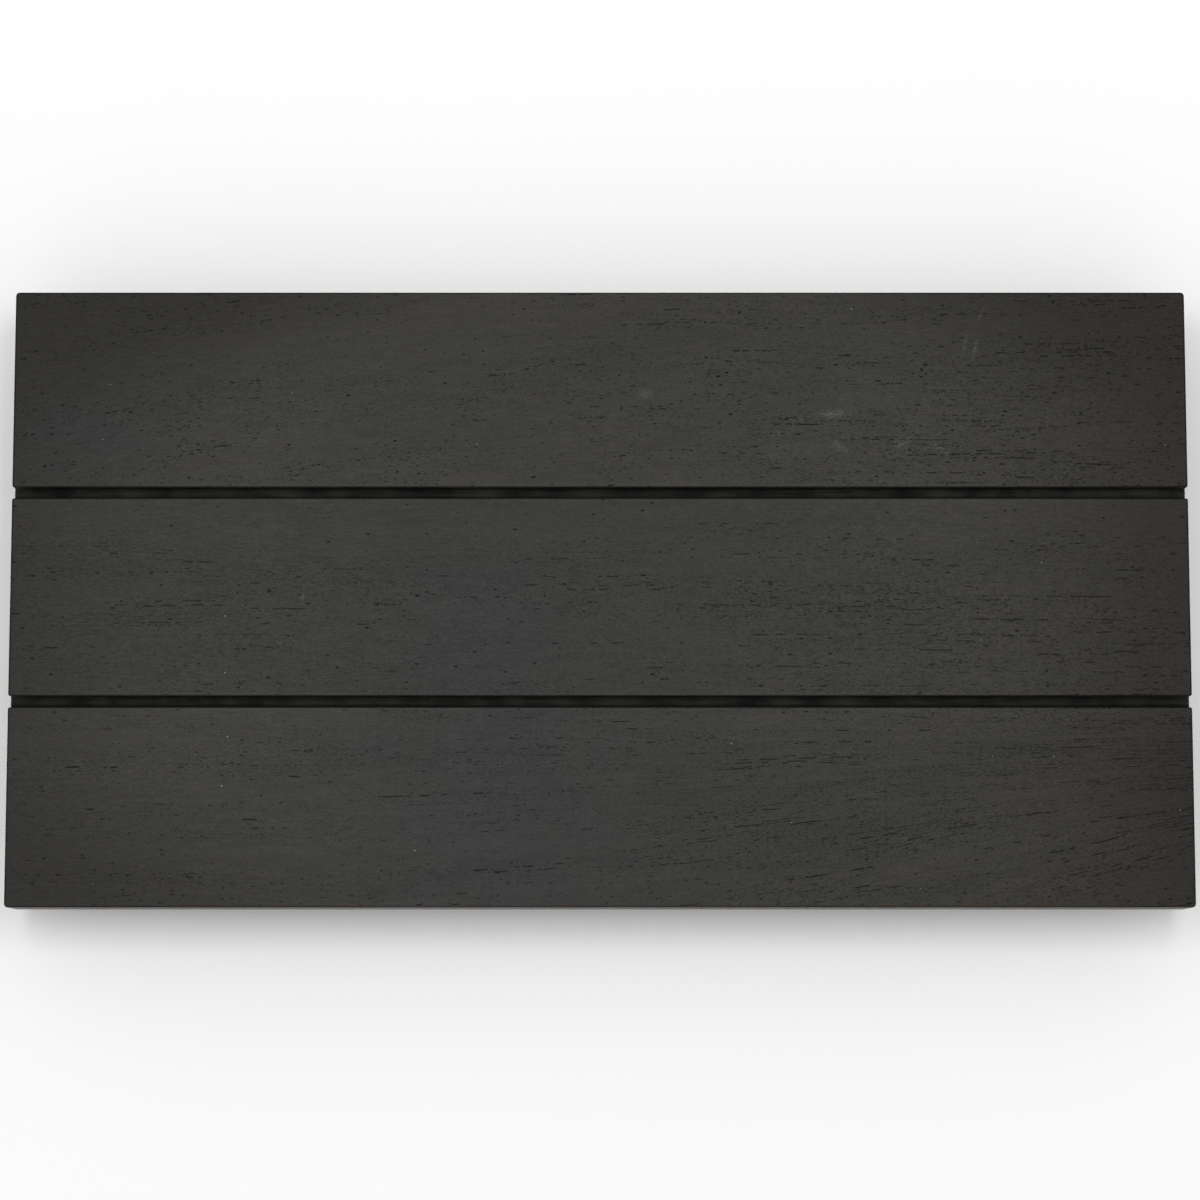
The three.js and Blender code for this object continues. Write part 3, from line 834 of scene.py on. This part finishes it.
def timber_run_tree():
    """Runs a drawn section along the timber's length and marks how far each edge is to be eased."""
    inputs = {
        "Section": "Geometry",
        "Length": DECK_LENGTH,
        "Turn": "Rotation",
        "Start": "Vector",
        "Along": "Vector",
        "End Round": END_ROUND,
        "Corner Round": DECK_CORNER_ROUND,
        "Corner Line": BEYOND,
    }
    net, given = new_tree("Timber run", inputs, {"Timber": "Geometry"}, "GeometryNodeTree")
    section = given["Section"]
    offset = net.join(0.0, 0.0, given["Length"])
    run = {"Mesh": section, "Offset": offset, "Offset Scale": 1.0, "Individual": False}
    body = net.geometry("ExtrudeMesh", run, mode="FACES")
    first_end = net.geometry("FlipFaces", (section,))
    whole = net.add("GeometryNodeJoinGeometry", (body,))
    net.link(first_end, whole.inputs[0])
    closed = net.geometry("MergeByDistance", {"Geometry": whole.outputs[0], "Distance": WELD})
    laid = {"Geometry": closed, "Translation": given["Start"], "Rotation": given["Turn"]}
    bar = net.geometry("Transform", laid)

    place = net.geometry("InputPosition")
    along = net.math("ABSOLUTE", net.vector("DOT_PRODUCT", place, given["Along"]))
    end_line = net.minus(net.times(given["Length"], 0.5), NEAR)
    at_end = net.math("GREATER_THAN", along, end_line)
    outward = net.math("ABSOLUTE", net.split(place)[1])
    at_corner = net.math("GREATER_THAN", outward, net.minus(given["Corner Line"], NEAR))
    long_round = net.geometry("InputNamedAttribute", ("round",), data_type="FLOAT")
    end_round = net.choose(at_corner, given["End Round"], given["Corner Round"])
    rounding = net.choose(at_end, long_round, end_round)
    weight = net.math("DIVIDE", rounding, LARGEST_ROUND)
    mark = {"Geometry": bar, "Name": "bevel_weight_edge", "Value": weight}
    marked = net.geometry("StoreNamedAttribute", mark, data_type="FLOAT", domain="EDGE")
    return net.results(marked)


def drilled_timber_tree():
    """Drills the screw holes, keeps crisp edges crisp and gives the faces and the joints their wood."""
    inputs = {
        "Timber": "Geometry",
        "Screw Points": "Object",
        "Drill": "Object",
        "Joint Rear": BEYOND,
        "Joint Front": -BEYOND,
        "Face Wood": "Material",
        "Joint Wood": "Material",
    }
    net, given = new_tree("Drilled timber", inputs, {"Timber": "Geometry"}, "GeometryNodeTree")
    points = net.add("GeometryNodeObjectInfo", (given["Screw Points"],)).outputs["Geometry"]
    drill = net.add("GeometryNodeObjectInfo", (given["Drill"],)).outputs["Geometry"]
    drills = net.geometry("InstanceOnPoints", {"Points": points, "Instance": drill})
    cut = {"Mesh 1": given["Timber"], "Mesh 2": net.geometry("RealizeInstances", (drills,))}
    drilled = net.geometry("MeshBoolean", cut, operation="DIFFERENCE", solver="EXACT")

    smoothed = net.geometry("SetShadeSmooth", {"Geometry": drilled, "Shade Smooth": True})
    crisp = net.math("GREATER_THAN", net.geometry("InputMeshEdgeAngle"), CRISP_ANGLE)
    sharp = {"Geometry": smoothed, "Selection": crisp, "Shade Smooth": False}
    edged = net.geometry("SetShadeSmooth", sharp, domain="EDGE")

    y = net.split(net.geometry("InputPosition"))[1]
    behind = net.math("GREATER_THAN", y, net.minus(given["Joint Rear"], NEAR))
    before = net.math("LESS_THAN", y, net.plus(given["Joint Front"], NEAR))
    in_joint = net.larger(behind, before)
    real = net.geometry("RealizeInstances", (edged,))
    faced = net.geometry("SetMaterial", {"Geometry": real, "Material": given["Face Wood"]})
    joint = {"Geometry": faced, "Selection": in_joint, "Material": given["Joint Wood"]}
    return net.results(net.geometry("SetMaterial", joint))


def fittings_tree():
    """Sets one fitting on every point, each turned by its own seeded angle."""
    inputs = {
        "Points": "Geometry",
        "Fitting": "Object",
        "Largest Turn": 0.0,
        "Seed": "Int",
        "Finish": "Material",
    }
    net, given = new_tree("Fittings on points", inputs, {"Fittings": "Geometry"}, "GeometryNodeTree")
    fitting = net.add("GeometryNodeObjectInfo", (given["Fitting"],)).outputs["Geometry"]
    chance = {"Max": given["Largest Turn"], "Seed": given["Seed"]}
    turn = net.add("FunctionNodeRandomValue", chance, data_type="FLOAT").outputs["Value"]
    spread = {"Points": given["Points"], "Instance": fitting, "Rotation": net.join(0.0, 0.0, turn)}
    real = net.geometry("RealizeInstances", (net.geometry("InstanceOnPoints", spread),))
    finished = net.geometry("SetMaterial", {"Geometry": real, "Material": given["Finish"]})
    return net.results(finished)


# Mesh helpers

def new_object(name, data):
    piece = bpy.data.objects.new(name, data)
    bpy.context.scene.collection.objects.link(piece)
    return piece


def mesh_object(name, shape):
    """An object from a bmesh, with its doubles merged and its faces outward."""
    bmesh.ops.remove_doubles(shape, verts=shape.verts, dist=WELD)
    bmesh.ops.recalc_face_normals(shape, faces=shape.faces)
    mesh = bpy.data.meshes.new(name)
    shape.to_mesh(mesh)
    shape.free()
    return new_object(name, mesh)


def point_object(name, boxes):
    """An object of single points, each in the middle of a box's lower side."""
    points = [((low.x + high.x) / 2, (low.y + high.y) / 2, low.z) for low, high in boxes]
    mesh = bpy.data.meshes.new(name)
    mesh.from_pydata(points, [], [])
    return new_object(name, mesh)


def section_object(name, corners):
    """A filled section in the XY plane from corners (across, up, rounding), anticlockwise."""
    mesh = bpy.data.meshes.new(name)
    mesh.from_pydata([(across, up, 0) for across, up, _ in corners], [], [range(len(corners))])
    rounding = mesh.attributes.new("round", "FLOAT", "POINT")
    for index, corner in enumerate(corners):
        rounding.data[index].value = corner[2]
    return new_object(name, mesh)


def level_ring(shape, radii, height):
    """A level ring of corners round the axis, one at each radius."""
    corners = []
    for side, radius in enumerate(radii):
        angle = 2 * math.pi * side / len(radii)
        corners.append(shape.verts.new((radius * math.cos(angle), radius * math.sin(angle), height)))
    return corners


def join_rings(shape, rings):
    """Faces from each ring of corners to the next."""
    for lower, upper in zip(rings, rings[1:]):
        for side in range(len(lower)):
            after = (side + 1) % len(lower)
            shape.faces.new((lower[side], lower[after], upper[after], upper[side]))


def turned_shape(profile, sides):
    """A turned solid from a profile of (radius, height), closed by a flat face at both ends."""
    shape = bmesh.new()
    rings = [level_ring(shape, [radius] * sides, height) for radius, height in profile]
    join_rings(shape, rings)
    shape.faces.new(list(reversed(rings[0])))
    shape.faces.new(rings[-1])
    return shape


def arc_points(centre, radius, start, end, steps):
    """Points on an arc, from the start angle to the end angle in degrees."""
    angles = [math.radians(start + (end - start) * step / steps) for step in range(steps + 1)]
    return [(centre[0] + radius * math.cos(a), centre[1] + radius * math.sin(a)) for a in angles]


def add_nodes(piece, tree, values):
    """Adds a node modifier and sets its inputs by the identifiers of their sockets."""
    modifier = piece.modifiers.new(tree.name, "NODES")
    modifier.node_group = tree
    for item in tree.interface.items_tree:
        if item.item_type == "SOCKET" and item.in_out == "INPUT" and item.name in values:
            modifier[item.identifier] = values[item.name]


def bake_modifiers(piece):
    """Turns the evaluated object into a plain mesh and drops its modifiers."""
    graph = bpy.context.evaluated_depsgraph_get()
    whole = piece.evaluated_get(graph)
    mesh = bpy.data.meshes.new_from_object(whole, preserve_all_data_layers=True, depsgraph=graph)
    piece.modifiers.clear()
    piece.data = mesh


def drop(*helpers):
    for helper in helpers:
        bpy.data.objects.remove(helper)


# Planks and battens

def outer_edge(y, side):
    """An outer long edge, upwards on the rear side and downwards on the front side."""
    edge = [(y, DECK_UNDERSIDE, DECK_EDGE_ROUND), (y, DECK_TOP, DECK_EDGE_ROUND)]
    return edge if side == "rear" else edge[::-1]


def tongue_edge(y):
    """A tongue edge, upwards: the cheek, the tongue and the deck's edge above the gap."""
    tongue_top = DECK_TOP - GAP_DEPTH
    tongue_bottom = tongue_top - TONGUE_THICKNESS
    cheek = y + GAP_WIDTH
    tip = cheek + TONGUE_REACH
    return [
        (cheek, DECK_UNDERSIDE, 0),
        (cheek, tongue_bottom, 0),
        (tip, tongue_bottom, TONGUE_CHAMFER),
        (tip, tongue_top, TONGUE_CHAMFER),
        (y, tongue_top, 0),
        (y, DECK_TOP, GAP_EDGE_ROUND),
    ]


def groove_edge(y):
    """A grooved edge, downwards, with room round the next plank's tongue."""
    groove_top = DECK_TOP - GAP_DEPTH + TONGUE_CLEARANCE
    groove_bottom = DECK_TOP - GAP_DEPTH - TONGUE_THICKNESS - TONGUE_CLEARANCE
    back = y + TONGUE_REACH + TONGUE_CLEARANCE
    return [
        (y, DECK_TOP, GAP_EDGE_ROUND),
        (y, groove_top, 0),
        (back, groove_top, 0),
        (back, groove_bottom, 0),
        (y, groove_bottom, 0),
        (y, DECK_UNDERSIDE, 0),
    ]


def plank_section(row):
    """A plank's section, anticlockwise from its rear lower corner, and its front and rear edges."""
    front = {"rear": REAR_LOW, "middle": MIDDLE_LOW, "front": FRONT_LOW}[row].y
    rear = front + PLANK_FACE
    rear_edge = outer_edge(rear, "rear") if row == "rear" else tongue_edge(rear)
    front_edge = outer_edge(front, "front") if row == "front" else groove_edge(front)
    return rear_edge + front_edge, front, rear


def finish_timber(timber, run, drilling):
    """Runs a section out, eases its marked edges, drills it and keeps the plain mesh."""
    add_nodes(timber, TIMBER_RUN, run)
    ease = timber.modifiers.new("Eased edges", "BEVEL")
    ease.limit_method = "WEIGHT"
    ease.width = LARGEST_ROUND
    ease.segments = ROUND_STEPS
    ease.use_clamp_overlap = False
    add_nodes(timber, DRILLED_TIMBER, drilling)
    normals = timber.modifiers.new("Flat faces", "WEIGHTED_NORMAL")
    normals.keep_sharp = True
    bake_modifiers(timber)


def make_plank(row, screw_points, drill):
    corners, front, rear = plank_section(row)
    run = {
        "Length": DECK_LENGTH,
        "Turn": (math.pi / 2, 0, math.pi / 2),
        "Start": (-DECK_LENGTH / 2, 0, 0),
        "Along": (1, 0, 0),
        "End Round": END_ROUND,
        "Corner Round": DECK_CORNER_ROUND,
        "Corner Line": DECK_HALF_DEPTH,
    }
    drilling = {
        "Screw Points": screw_points,
        "Drill": drill,
        "Joint Rear": BEYOND if row == "rear" else rear,
        "Joint Front": -BEYOND if row == "front" else front,
        "Face Wood": deck_wood(f"Black-stained {row} plank", BOARDS[row]),
        "Joint Wood": JOINT_WOOD,
    }
    plank = section_object(f"stained_plank_{row}", corners)
    finish_timber(plank, run, drilling)
    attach(plank, "root")
    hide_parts(f"plank_{row}")


def make_batten(side, screw_points, drill):
    low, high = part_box(f"batten_{side}")
    corners = [
        (low.x, low.z, BATTEN_ROUND),
        (high.x, low.z, BATTEN_ROUND),
        (high.x, high.z, BATTEN_SEAT_ROUND),
        (low.x, high.z, BATTEN_SEAT_ROUND),
    ]
    run = {
        "Length": high.y - low.y,
        "Turn": (math.pi / 2, 0, 0),
        "Start": (0, high.y, 0),
        "Along": (0, 1, 0),
        "End Round": BATTEN_END_ROUND,
        "Corner Line": BEYOND,
    }
    wood = batten_wood(f"Black-stained {side} batten", low, high)
    drilling = {
        "Screw Points": screw_points,
        "Drill": drill,
        "Joint Rear": BEYOND,
        "Joint Front": -BEYOND,
        "Face Wood": wood,
        "Joint Wood": wood,
    }
    batten = section_object(f"drilled_batten_{side}", corners)
    finish_timber(batten, run, drilling)
    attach(batten, "root")
    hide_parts(f"batten_{side}")


def make_timber():
    """Drills and assembles the planks and battens."""
    sink = HEAD_RADIUS + DRILL_CLEARANCE
    bore = THREAD_CREST + DRILL_CLEARANCE
    countersink = [
        (sink, BATTEN_LOW.z - SCREW_LOW.z - DRILL_OVERRUN),
        (sink, HEAD_RIM),
        (bore, HEAD_RIM + sink - bore),
        (bore, BATTEN_HIGH.z - SCREW_LOW.z + DRILL_OVERRUN),
    ]
    pilot = [
        (THREAD_CREST, 0),
        (THREAD_CREST, SCREW_LENGTH - SCREW_POINT),
        (PILOT_TIP, SCREW_LENGTH + DRILL_CLEARANCE),
    ]
    screw_points = point_object("screw_points", SCREW_BOXES)
    batten_drill = mesh_object("batten_drill", turned_shape(countersink, DRILL_SIDES))
    pilot_drill = mesh_object("pilot_drill", turned_shape(pilot, PILOT_SIDES))
    for row in ROWS:
        make_plank(row, screw_points, pilot_drill)
    for side in SIDES:
        make_batten(side, screw_points, batten_drill)
    drop(screw_points, batten_drill, pilot_drill)


# Screws and feet

def thread_height(turn):
    """How far the thread stands out, from 0 to 1, at a share of one turn."""
    return max(0.0, 1.0 - abs(turn % 1.0 - 0.5) / THREAD_FLANK)


def thread_radii(height, fade):
    """The radius at each of the screw's sides at one height of the thread, narrowing to the point."""
    turns = height / THREAD_PITCH
    taper = min(1.0, (SCREW_LENGTH - height) / SCREW_POINT)
    stand = (THREAD_CREST - THREAD_CORE) * fade
    rises = [thread_height(turns - side / SCREW_SIDES) for side in range(SCREW_SIDES)]
    return [taper * (THREAD_CORE + stand * rise) for rise in rises]


def cut_recess(shape, rim):
    """Fills the head's flat inside its rim, with a tapering cross recess in the middle."""
    arm = RECESS_WIDTH / 2
    reach = RECESS_SPAN / 2
    mouth = []
    floor = []
    for turn in range(4):
        c = round(math.cos(turn * math.pi / 2))
        s = round(math.sin(turn * math.pi / 2))
        for along, aside in ((reach, -arm), (reach, arm), (arm, arm)):
            x = c * along - s * aside
            y = s * along + c * aside
            mouth.append(shape.verts.new((x, y, 0)))
            floor.append(shape.verts.new((RECESS_TAPER * x, RECESS_TAPER * y, RECESS_DEPTH)))
    rim_edges = [shape.edges.get(pair) for pair in zip(rim, rim[1:] + rim[:1])]
    mouth_edges = [shape.edges.new(pair) for pair in zip(mouth, mouth[1:] + mouth[:1])]
    bmesh.ops.triangle_fill(shape, edges=rim_edges + mouth_edges, use_beauty=True)
    join_rings(shape, [mouth, floor])
    shape.faces.new(floor)


def screw_shape():
    """A countersunk wood screw standing on its head, with a cross recess below and a point above."""
    shape = bmesh.new()
    profile = [
        (HEAD_RADIUS - HEAD_EDGE_BREAK, 0),
        (HEAD_RADIUS, HEAD_EDGE_BREAK),
        (HEAD_RADIUS, HEAD_RIM),
        (SHANK_RADIUS, HEAD_RIM + HEAD_RADIUS - SHANK_RADIUS),
        (SHANK_RADIUS, THREAD_START),
    ]
    rings = [level_ring(shape, [radius] * SCREW_SIDES, height) for radius, height in profile]
    thread_length = SCREW_LENGTH - THREAD_START
    steps = round(thread_length / THREAD_PITCH * THREAD_STEPS)
    for step in range(1, steps):
        height = THREAD_START + thread_length * step / steps
        radii = thread_radii(height, min(1.0, step / THREAD_STEPS))
        rings.append(level_ring(shape, radii, height))
    tip = shape.verts.new((0, 0, SCREW_LENGTH))
    join_rings(shape, rings)
    for side in range(SCREW_SIDES):
        shape.faces.new((rings[-1][side], rings[-1][(side + 1) % SCREW_SIDES], tip))
    cut_recess(shape, rings[0])
    return shape


def set_fittings(piece, values):
    """Sets a fitting on each of the piece's points, keeps the plain mesh and drops the pattern."""
    add_nodes(piece, FITTINGS, values)
    bake_modifiers(piece)
    drop(values["Fitting"])


def make_screws():
    """All twelve screws as one piece, each turned as it came to rest."""
    screw = mesh_object("screw_pattern", screw_shape())
    screws = point_object("wood_screws", SCREW_BOXES)
    zinc = zinc_plated_steel("Zinc-plated steel")
    turned = {"Largest Turn": 2 * math.pi, "Seed": SCREW_SEED}
    set_fittings(screws, {"Fitting": screw, "Finish": zinc, **turned})
    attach(screws, "root")
    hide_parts(*SCREW_NAMES)


def make_feet():
    """The four stick-on feet as one piece."""
    low, high = FOOT_BOXES[0]
    radius = (high.x - low.x) / 2
    base = radius - FOOT_TAPER
    lower_edge = arc_points((base - FOOT_ROUND, FOOT_ROUND), FOOT_ROUND, -90, 0, FOOT_ROUND_STEPS)
    profile = [*lower_edge, (radius, high.z - low.z)]
    foot = mesh_object("foot_pattern", turned_shape(profile, FOOT_SIDES))
    feet = point_object("rubber_feet", FOOT_BOXES)
    rubber = black_rubber("Black rubber")
    unturned = {"Largest Turn": 0.0, "Seed": FOOT_SEED}
    set_fittings(feet, {"Fitting": foot, "Finish": rubber, **unturned})
    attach(feet, "root")
    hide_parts(*FOOT_NAMES)


# The studio

def make_floor():
    half = FLOOR_WIDTH / 2
    corners = ((-half, -half), (half, -half), (half, half), (-half, half))
    shape = bmesh.new()
    shape.faces.new([shape.verts.new((x, y, 0)) for x, y in corners])
    floor = mesh_object("studio_floor", shape)
    floor.data.materials.append(studio_floor("Pale studio floor"))
    floor.visible_shadow = False


def make_softbox(place, size, power):
    """A soft light that shines straight down and isn't seen itself."""
    softbox = bpy.data.lights.new("Softbox", "AREA")
    softbox.shape = "RECTANGLE"
    softbox.size, softbox.size_y = size
    softbox.energy = power
    lamp = new_object("Softbox", softbox)
    lamp.location = place
    lamp.visible_camera = False
    return lamp


def make_light():
    """Two softboxes beside the camera and one under the floor, in an evenly lit white room."""
    for place in SOFTBOX_PLACES:
        make_softbox(place, SOFTBOX_SIZE, SOFTBOX_POWER)
    under = make_softbox(UNDER_PLACE, UNDER_SIZE, UNDER_POWER)
    under.rotation_euler = (math.pi, 0, 0)
    under.data.cycles.max_bounces = 0
    world = bpy.data.worlds.new("Studio")
    world.use_nodes = True
    room = world.node_tree.nodes["Background"].inputs
    room["Color"].default_value = (1, 1, 1, 1)
    room["Strength"].default_value = ROOM_LIGHT
    bpy.context.scene.world = world
    bpy.context.scene.view_settings.view_transform = "Standard"


def make_camera():
    camera = bpy.data.cameras.new("Camera")
    camera.lens = CAMERA_LENS
    camera.sensor_width = CAMERA_SENSOR
    stand = new_object("Camera", camera)
    back = Vector((0, -math.sin(CAMERA_TILT), math.cos(CAMERA_TILT)))
    stand.location = CAMERA_TARGET + CAMERA_DISTANCE * back
    stand.rotation_euler = (CAMERA_TILT, 0, 0)
    bpy.context.scene.camera = stand


GRAIN_RUN = grain_run_group()
GROWTH_RINGS = growth_ring_group()
PORE_LINE = pore_line_group()
SCATTERED_PORES = scattered_pore_group()
STAINED_GRAIN = stained_grain_group(GRAIN_RUN, GROWTH_RINGS, PORE_LINE, SCATTERED_PORES)
EDGE_SHADE_AND_WEAR = edge_shade_and_wear_group()
DUST_SPECKS = dust_speck_group()
SCUFF = scuff_group()
JOINT_WOOD = sawn_wood("Sawn joint wood")
TIMBER_RUN = timber_run_tree()
DRILLED_TIMBER = drilled_timber_tree()
FITTINGS = fittings_tree()

make_timber()
make_screws()
make_feet()
make_floor()
make_light()
make_camera()
